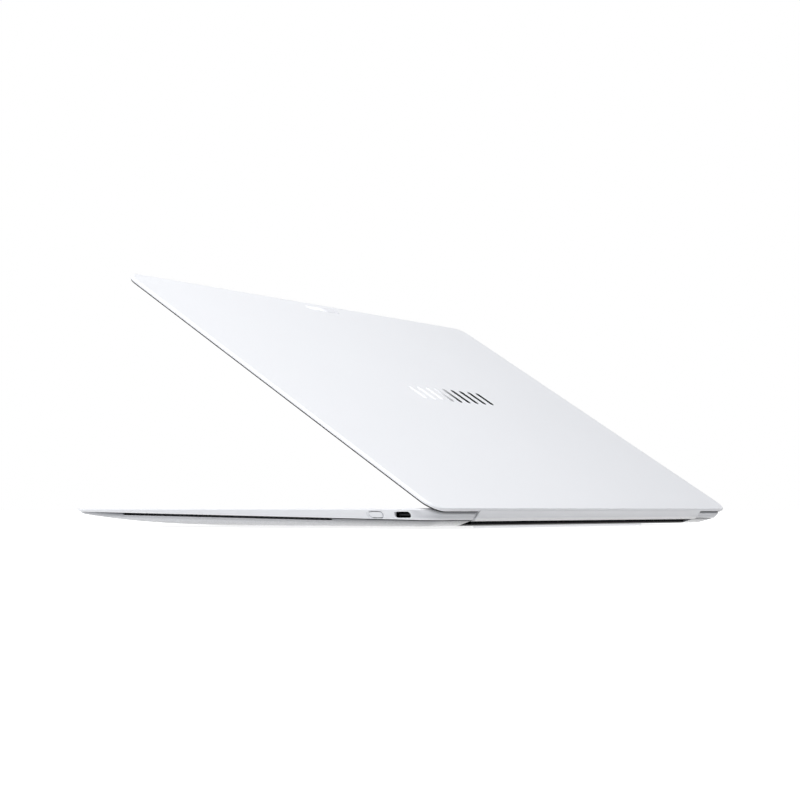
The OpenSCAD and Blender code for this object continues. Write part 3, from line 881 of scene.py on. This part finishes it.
def screw_recesses(bm):
    """A round recess for each bottom screw."""
    for low, high in solid_boxes("bottom_screws"):
        c = middle(low, high)
        outline = circle((high.x - low.x) / 2 + 0.1, 28)
        loft(bm, [[(c.x + a, c.y + b, z) for a, b in outline] for z in (-1, low.z + 0.62)])


def rubber_feet():
    """The three feet, their lower edges rounded."""
    bm = bmesh.new()
    path = rounded_path(arc=10, nx=1, ny=1)
    for low, high in solid_boxes("rubber_feet"):
        c = middle(low, high)
        w, d = high.x - low.x, high.y - low.y
        top = high.z + 0.25
        profile = fillet([(1.2, 0.0), (0.0, 0.0), (0.0, top), (1.0, top)], [0.45, 0.05], 4)
        rings = []
        for inset, z in profile:
            r = d / 2 - inset - 0.01
            rings.append(rounded_ring(path, w - 2 * inset, d - 2 * inset, r, z, (c.x, c.y)))
        loft(bm, rings)
    feet = new_object("rubber_feet_pads", finish_mesh(bm, "rubber_feet_pads"))
    smooth(feet)
    return place(feet, FOOT, "base", "feet", "rubber_feet")


# ---------------------------------------------------------------- keyboard and touchpad

CAP_PATH = rounded_path(arc=6, nx=6, ny=6)
CAP_R = 1.5
CAP_EDGE = 1.6
CAP_DISH = 0.06
PAD_R = 2.0
LEGEND_T = 0.012
SIGN_SIZE, WORD_SIZE = 5.2, 3.2
LOW_KEY_D, LOW_KEY_SHARE = 12, 0.72


def cap(bm, low, high, dish):
    """A key cap with rounded top edges and a shallow dish."""
    c = middle(low, high)
    w, d = high.x - low.x, high.y - low.y
    flat = [(0.0, low.z), (0.0, low.z + 0.2), (0.12, high.z), (CAP_EDGE, high.z)]
    edge = fillet(flat, [0.08, 0.28], 4)
    levels = [(inset, CAP_R - 0.4 * min(inset, CAP_R), z) for inset, z in edge]
    limit = min(w, d) / 2
    for share in (0.35, 0.55, 0.75, 0.9):
        depth = dish * math.sin(share * math.pi / 2)
        levels.append((CAP_EDGE + (limit - CAP_EDGE) * share, max(0.9 * (1 - share), 0.05),
                       high.z - depth))
    loft(bm, [rounded_ring(CAP_PATH, w - 2 * inset, d - 2 * inset, r, z, (c.x, c.y))
              for inset, r, z in levels])


ROW_LEGENDS = {
    "function_keys": ["esc"] + [f"F{i}" for i in range(1, 13)] + ["del"],
    "number_keys": list("`1234567890-="),
    "upper_letter_keys": list("QWERTYUIOP[]\\"),
    "middle_letter_keys": list("ASDFGHJKL;'"),
    "lower_letter_keys": list("ZXCVBNM,./"),
    "bottom_row_keys": ["ctrl", "fn", "menu", "alt", "alt", "ctrl"],
    "space_bar": [""],
    "enter_key": ["enter"],
    "backspace_key": ["back"],
    "tab_key": ["tab"],
    "caps_lock_key": ["caps"],
    "shift_key_left": ["shift"],
    "shift_key_right": ["shift"],
    "arrow_keys": ["<", "v", "^", ">"],
}


def legend_mesh(text, size, centre, z):
    """Thin letters lying on a key cap, as a mesh in metres."""
    curve = bpy.data.curves.new("legend", "FONT")
    curve.body = text
    curve.size = size * MM
    curve.align_x = "CENTER"
    curve.align_y = "CENTER"
    curve.extrude = LEGEND_T * MM
    obj = new_object("legend", curve)
    bpy.context.view_layer.update()
    graph = bpy.context.evaluated_depsgraph_get()
    mesh = bpy.data.meshes.new_from_object(obj.evaluated_get(graph))
    bpy.data.objects.remove(obj)
    bpy.data.curves.remove(curve)
    mesh.transform(Matrix.Translation(Vector((centre.x, centre.y, z)) * MM))
    return mesh


def legends(node, boxes):
    """All the legends of one row as one piece."""
    bm = bmesh.new()
    for text, (low, high) in zip(ROW_LEGENDS[node], boxes):
        if not text:
            continue
        size = SIGN_SIZE if len(text) == 1 else WORD_SIZE
        if high.y - low.y < LOW_KEY_D:
            size *= LOW_KEY_SHARE
        mesh = legend_mesh(text, size, middle(low, high), high.z - 0.02)
        bm.from_mesh(mesh)
        bpy.data.meshes.remove(mesh)
    if not bm.verts:
        bm.free()
        return
    mesh = bpy.data.meshes.new(node + "_legends")
    bmesh.ops.remove_doubles(bm, verts=bm.verts, dist=1e-7)
    bm.to_mesh(mesh)
    bm.free()
    place(new_object(node + "_legends", mesh), LEGEND, node, "keycap")


def keyboard():
    """One piece of key caps and one of legends for each CAD node of keys."""
    for node, boxes in KEYS.items():
        bm = bmesh.new()
        for low, high in boxes:
            cap(bm, low, high, 0.0 if node == "space_bar" else CAP_DISH)
        caps = new_object(node + "_caps", finish_mesh(bm, node + "_caps"))
        smooth(caps, 50)
        place(caps, KEYCAP, node, "keycap", node)
        legends(node, boxes)


def touchpad():
    """A flat plate with a softly rounded rim."""
    low, high = node_box_mm("touchpad")
    c = middle(low, high)
    w, d = high.x - low.x, high.y - low.y
    profile = fillet([(0.0, low.z), (0.0, high.z), (2.0, high.z)], [0.18], 4)
    bm = bmesh.new()
    path = rounded_path(arc=8, nx=1, ny=1)
    loft(bm, [rounded_ring(path, w - 2 * inset, d - 2 * inset, PAD_R - 0.3 * inset, z, (c.x, c.y))
              for inset, z in profile])
    pad = new_object("touchpad_plate", finish_mesh(bm, "touchpad_plate"))
    smooth(pad)
    return place(pad, TOUCHPAD, "touchpad", "touchpad", "touchpad")


# ---------------------------------------------------------------- lid

LID_PATH = rounded_path(arc=18, nx=8, ny=8)
REAR_CRISP = 0.7


def bezier(p0, p1, p2, p3, steps):
    """Points of a cubic curve."""
    out = []
    for k in range(steps + 1):
        t = k / steps
        u = 1 - t
        shares = list(zip((u ** 3, 3 * u * u * t, 3 * u * t * t, t ** 3), (p0, p1, p2, p3)))
        out.append(tuple(sum(w * p[i] for w, p in shares) for i in range(2)))
    return out


def lid_profile():
    """(inset, height) from the flat top, over the shoulder and crease, to the inside."""
    shoulder = bezier((1.25, LID_TOP), (0.55, LID_TOP), (0.16, LID_TOP - 0.25),
                      (0.04, LID_CREASE + 0.1), 12)
    wall = [(0.0, LID_CREASE - 0.02), (0.02, LID_CREASE - 0.14), (0.30, LID_WALL + 0.1),
            (0.42, LID_WALL)]
    inside = [(1.7, LID_WALL), (1.75, LID_CREASE - 0.2), (2.4, LID_TOP - LID_SKIN)]
    return shoulder + wall + inside


def inlay_places(node):
    """Centre and size of each solid of an inlay node, with the lid closed."""
    bm = node_bmesh(node)
    bm.transform(lid_transform().inverted())
    bm.transform(Matrix.Scale(1 / MM, 4))
    places = []
    for points in islands(bm):
        low, high = corners(points)
        places.append((middle(low, high), high.x - low.x, high.y - low.y))
    bm.free()
    return places


def inlay_ring(centre, w, d, grow, z):
    """A level pill around an inlay's place, wider by `grow` on each side."""
    outline = pill(max(w, d) + 2 * grow, min(w, d) + 2 * grow)
    if w < d:
        outline = [(b, a) for a, b in outline]
    return [(centre.x + x, centre.y + y, z) for x, y in outline]


def inlay_cutters(bm, node):
    """Pockets for a polished inlay, drawn with the lid closed."""
    for place_in_lid in inlay_places(node):
        loft(bm, [inlay_ring(*place_in_lid, 0.05, z) for z in (LID_TOP - 0.55, LID_TOP + 1)])


def lid_cover():
    """The thin white lid, with a dark rim on its underside and pockets for the inlays."""
    bm = bmesh.new()
    rings = []
    for inset, z in lid_profile():
        r = max(CORNER_R - 0.6 * inset, 5)
        ring = []
        for s in LID_PATH:
            back = inset
            if z > LID_CREASE:
                back *= 1 - REAR_CRISP * max(0.0, s[3]) ** 2
            ring.append((*on_path(s, HALF_W - inset, FRONT + inset, REAR - back, r), z))
        rings.append(ring)
    loft(bm, rings)
    lid = new_object("lid_cover_shell", finish_mesh(bm, "lid_cover_shell"))
    cut = bmesh.new()
    spine_room = SPINE_HALF + 0.1
    box(cut, (-spine_room, AXIS.y - 1.6, LID_INNER - 1), (spine_room, REAR + 2, LID_CREASE - 0.05))
    inlay_cutters(cut, "antenna_insert")
    inlay_cutters(cut, "lid_emblem")
    subtract(lid, cut)
    round_edges(lid, 0.06, angle=50)
    rim = [face.index for face in lid.data.polygons if face.center.z < (LID_WALL + 0.13) * MM]
    lid.data.transform(lid_transform())
    smooth(lid, 30)
    place(lid, PEARL, "lid", "white_shell", "lid_cover")
    lid.data.materials.append(GASKET)
    for index in rim:
        lid.data.polygons[index].material_index = 1
    return lid


def inlay(name, node, slot, material):
    """Polished inlays with softly rounded rims, flush with the lid."""
    bm = bmesh.new()
    for centre, w, d in inlay_places(node):
        flat = [(0.0, LID_TOP - 0.5), (0.0, LID_TOP), (min(w, d) / 2 - 0.1, LID_TOP)]
        profile = fillet(flat, [0.05], 4)
        profile.insert(-1, (0.12, LID_TOP))
        loft(bm, [inlay_ring(centre, w, d, -inset, z) for inset, z in profile])
    piece = new_object(name, finish_mesh(bm, name, lid_transform()))
    smooth(piece)
    return place(piece, material, "lid", slot, node)


def camera_lens():
    """The small lens behind the glass, above the display."""
    low, high = node_box_mm("camera_module")
    y = (lid_transform().inverted() @ (middle(low, high) * MM)).y / MM
    bm = bmesh.new()
    for radius, face in ((1.5, 0.135), (0.9, 0.13)):
        loft(bm, [[(a, y + b, LID_INNER + level) for a, b in circle(radius, 32)]
                  for level in (face, 0.16)])
    lens = new_object("camera_lens", finish_mesh(bm, "camera_lens", lid_transform()))
    smooth(lens)
    return place(lens, LENS, "lid", "camera")


def hinge_spine():
    """Barrel with a flat rear face that runs up to the lid's crease."""
    neck = AXIS.y - 1.5
    rear = AXIS.y + BARREL_R
    top = LID_CREASE - 0.06
    start = math.acos(-1.5 / BARREL_R)
    steps = 40
    sweep = 2 * math.pi - start
    barrel = []
    for k in range(steps + 1):
        a = start + sweep * k / steps
        barrel.append((AXIS.y + BARREL_R * math.cos(a),
                       AXIS.z + BARREL_SQUASH * BARREL_R * math.sin(a)))
    outline = [(neck, top)] + barrel + [(rear, top - 0.1), (rear - 0.1, top)]
    bm = bmesh.new()
    centre = Vector((AXIS.y, AXIS.z))
    rings = []
    for x, shrink in ends(SPINE_HALF, 0.25):
        ring = []
        for y, z in outline:
            p = Vector((y, z)) - centre
            q = centre + p * (1 - shrink / p.length)
            ring.append((x, q.x, q.y))
        rings.append(ring)
    loft(bm, rings)
    spine = new_object("hinge_spine_shell", finish_mesh(bm, "hinge_spine_shell", lid_transform()))
    smooth(spine, 30)
    return place(spine, SPINE, "lid", "spine", "hinge_spine")


def ends(half, r, steps=4):
    """(x, shrink) along a bar whose end edges are rounded."""
    rounded = []
    for k in range(steps + 1):
        a = math.pi / 2 * k / steps
        rounded.append((half - r + r * math.cos(a), r - r * math.sin(a)))
    left = [(-x, s) for x, s in rounded]
    return left + rounded[::-1]


# ---------------------------------------------------------------- CAD nodes that keep their shape

CAD_FINISHES = {
    "display_glass": GLASS, "display_panel": DARK_PLASTIC, "camera_module": DARK_PLASTIC,
    "lid_gasket": GASKET, "display_cable": DARK_PLASTIC, "lid_magnets": STEEL,
    "rear_vent_grille": BLACK, "side_vent_meshes": VENT_MESH, "usb_c_port_right": PORT_BLACK,
    "usb_c_ports_left": PORT_BLACK, "hinge_bracket_left": STEEL, "hinge_bracket_right": STEEL,
    "hinge_screws": STEEL, "hinge_shaft_left": STEEL, "hinge_shaft_right": STEEL,
    "hinge_arm_left": STEEL, "hinge_arm_right": STEEL, "bottom_screws": STEEL,
    "keyboard_plate": PLATE, "touchpad_frame": STEEL, "battery_pack": DARK_PLASTIC,
    "mainboard": BOARD, "ssd_module": BOARD, "wifi_card": BOARD, "io_boards": BOARD,
    "fan_housing_left": DARK_PLASTIC, "fan_housing_right": DARK_PLASTIC,
    "fan_rotor_left": BLACK, "fan_rotor_right": BLACK, "heat_pipe": COPPER,
    "heat_sinks": FINS, "speakers": DARK_PLASTIC,
}


def finish_cad_nodes():
    """Gives each CAD node that stays its material."""
    for name, material in CAD_FINISHES.items():
        data = frame["nodes"][name].data
        data.materials.clear()
        data.materials.append(material)


# ---------------------------------------------------------------- studio

WORLD_BASE = 0.57
WORLD_UP = 0.32
WORLD_REAR = -0.20
WORLD_RIGHT = 0.56
WORLD_LOWEST = 0.05
CARD_SIDE = (-0.95, -0.31, 0.0)
CARD_TOP = 0.461
CARD_BLUR = 0.005
CARD_BLACK = 0.01
CARD_WHITE = 1.25
FLOOR_SEEN = 0.82
FLOOR_MIRRORED = 1.0
LAMP_COLOUR = (0.99, 0.995, 1.0)
CAMERA_LENS = 72.45
CAMERA_FROM_CREASE = (572.9, 376.7, 0)
CAMERA_AIM = (-0.8215, -0.5661, 0.0683)


def studio_world():
    """White to the camera; softer and directional for lighting and reflections."""
    world = bpy.data.worlds.new("studio")
    bpy.context.scene.world = world
    world.use_nodes = True
    nodes, links = world.node_tree.nodes, world.node_tree.links
    nodes.clear()
    coords = nodes.new("ShaderNodeTexCoord")
    split = nodes.new("ShaderNodeSeparateXYZ")
    links.new(coords.outputs["Generated"], split.inputs[0])

    def weigh(socket, weight, start):
        node = nodes.new("ShaderNodeMath")
        node.operation = "MULTIPLY_ADD"
        links.new(socket, node.inputs[0])
        node.inputs[1].default_value = weight
        if isinstance(start, float):
            node.inputs[2].default_value = start
        else:
            links.new(start, node.inputs[2])
        return node.outputs[0]

    value = weigh(split.outputs["Z"], WORLD_UP, WORLD_BASE)
    value = weigh(split.outputs["Y"], WORLD_REAR, value)
    value = weigh(split.outputs["X"], WORLD_RIGHT, value)
    lowest = nodes.new("ShaderNodeMath")
    lowest.operation = "MAXIMUM"
    links.new(value, lowest.inputs[0])
    lowest.inputs[1].default_value = WORLD_LOWEST
    value = lowest.outputs[0]
    value = glossy_card(nodes, links, coords.outputs["Generated"], split.outputs["Z"], value)
    soft = nodes.new("ShaderNodeBackground")
    soft.inputs["Color"].default_value = (0.985, 0.99, 1.0, 1)
    links.new(value, soft.inputs["Strength"])
    seen = nodes.new("ShaderNodeBackground")
    seen.inputs["Color"].default_value = (1, 1, 1, 1)
    seen.inputs["Strength"].default_value = 1.0
    rays = nodes.new("ShaderNodeLightPath")
    mix = nodes.new("ShaderNodeMixShader")
    links.new(rays.outputs["Is Camera Ray"], mix.inputs[0])
    links.new(soft.outputs[0], mix.inputs[1])
    links.new(seen.outputs[0], mix.inputs[2])
    output = nodes.new("ShaderNodeOutputWorld")
    links.new(mix.outputs[0], output.inputs["Surface"])


def glossy_card(nodes, links, direction, height, value):
    """A black card low on the left with a white one above it, seen in reflections only."""
    def node(kind, operation, *inputs):
        item = nodes.new(kind)
        item.operation = operation
        for socket, source in zip(item.inputs, inputs):
            if isinstance(source, (float, tuple)):
                socket.default_value = source
            else:
                links.new(source, socket)
        return item

    def ramp(source, low, high, out_low, out_high):
        item = nodes.new("ShaderNodeMapRange")
        item.interpolation_type = "SMOOTHSTEP"
        links.new(source, item.inputs["Value"])
        for end, source_end, result_end in (("Min", low, out_low), ("Max", high, out_high)):
            item.inputs["From " + end].default_value = source_end
            item.inputs["To " + end].default_value = result_end
        return item.outputs["Result"]

    towards = node("ShaderNodeVectorMath", "DOT_PRODUCT", direction, CARD_SIDE).outputs["Value"]
    beside = ramp(towards, 0.3, 0.6, 0.0, 1.0)
    under = ramp(height, CARD_TOP - CARD_BLUR, CARD_TOP + CARD_BLUR, 1.0, 0.0)
    rays = nodes.new("ShaderNodeLightPath")
    cover = node("ShaderNodeMath", "MULTIPLY", beside, rays.outputs["Is Glossy Ray"]).outputs[0]
    card = node("ShaderNodeMath", "MULTIPLY_ADD", under, CARD_BLACK - CARD_WHITE,
                CARD_WHITE).outputs[0]
    change = node("ShaderNodeMath", "SUBTRACT", card, value).outputs[0]
    return node("ShaderNodeMath", "MULTIPLY_ADD", cover, change, value).outputs[0]


def studio_floor():
    """Pale floor that is nearly white to the camera and keeps a faint contact shadow."""
    bm = bmesh.new()
    bmesh.ops.create_grid(bm, x_segments=4, y_segments=4, size=12000)
    floor = new_object("studio_floor", finish_mesh(bm, "studio_floor"))
    g = Graph("studio_floor")
    g.link(g.mix_colour(g.noise(3, 2), (0.55, 0.55, 0.555), (0.57, 0.57, 0.572)),
           g.shader.inputs["Base Color"])
    g.set(Roughness=0.9, Emission_Color=(1, 1, 1, 1))
    rays = g.nodes.new("ShaderNodeLightPath")
    glow = g.math("MULTIPLY", rays.outputs["Is Camera Ray"], FLOOR_SEEN)
    glow = g.math("MULTIPLY_ADD", rays.outputs["Is Glossy Ray"], FLOOR_MIRRORED, glow)
    g.link(glow, g.shader.inputs["Emission Strength"])
    side = g.nodes.new("ShaderNodeNewGeometry")
    clear = g.nodes.new("ShaderNodeBsdfTransparent")
    mix = g.nodes.new("ShaderNodeMixShader")
    g.link(side.outputs["Backfacing"], mix.inputs[0])
    g.link(g.shader.outputs[0], mix.inputs[1])
    g.link(clear.outputs[0], mix.inputs[2])
    g.link(mix.outputs[0], g.nodes["Material Output"].inputs["Surface"])
    floor.data.materials.append(g.material)


def area_light(name, at, target, size, power):
    """A square lamp, unseen by the camera, that faces its target."""
    data = bpy.data.lights.new(name, "AREA")
    data.shape = "SQUARE"
    data.size = size
    data.energy = power
    data.color = LAMP_COLOUR
    light = new_object(name, data)
    light.location = at
    light.visible_camera = False
    light.rotation_euler = (Vector(target) - Vector(at)).to_track_quat("-Z", "Y").to_euler()


def studio_lights():
    """A low lamp for the side wall and one above the lid."""
    area_light("side_light", at=(1.6, -0.1, 0.12), target=(0.15, 0, 0.01), size=0.45, power=3.9)
    area_light("lid_light", at=(0.50, 0.25, 0.92), target=(0, 0, 0.05), size=0.6, power=4.0)


def camera():
    """Low view from behind and to the right, tipped slightly up."""
    crease = lid_transform() @ (Vector((HALF_W, REAR, LID_CREASE)) * MM)
    data = bpy.data.cameras.new("camera")
    data.sensor_width = 36
    data.lens = CAMERA_LENS
    data.clip_start = 0.01
    data.clip_end = 60
    cam = new_object("camera", data)
    cam.location = crease + Vector(CAMERA_FROM_CREASE) * MM
    cam.rotation_euler = Vector(CAMERA_AIM).to_track_quat("-Z", "Y").to_euler()
    bpy.context.scene.camera = cam


# ---------------------------------------------------------------- build

top_case()
bottom_cover()
rubber_feet()
power_button()
keyboard()
touchpad()
lid_cover()
inlay("antenna_insert_lens", "antenna_insert", "polished", INSERT)
inlay("lid_emblem_bars", "lid_emblem", "polished", POLISHED)
camera_lens()
hinge_spine()
finish_cad_nodes()
studio_world()
studio_floor()
studio_lights()
camera()

bpy.context.scene.view_settings.view_transform = "Standard"
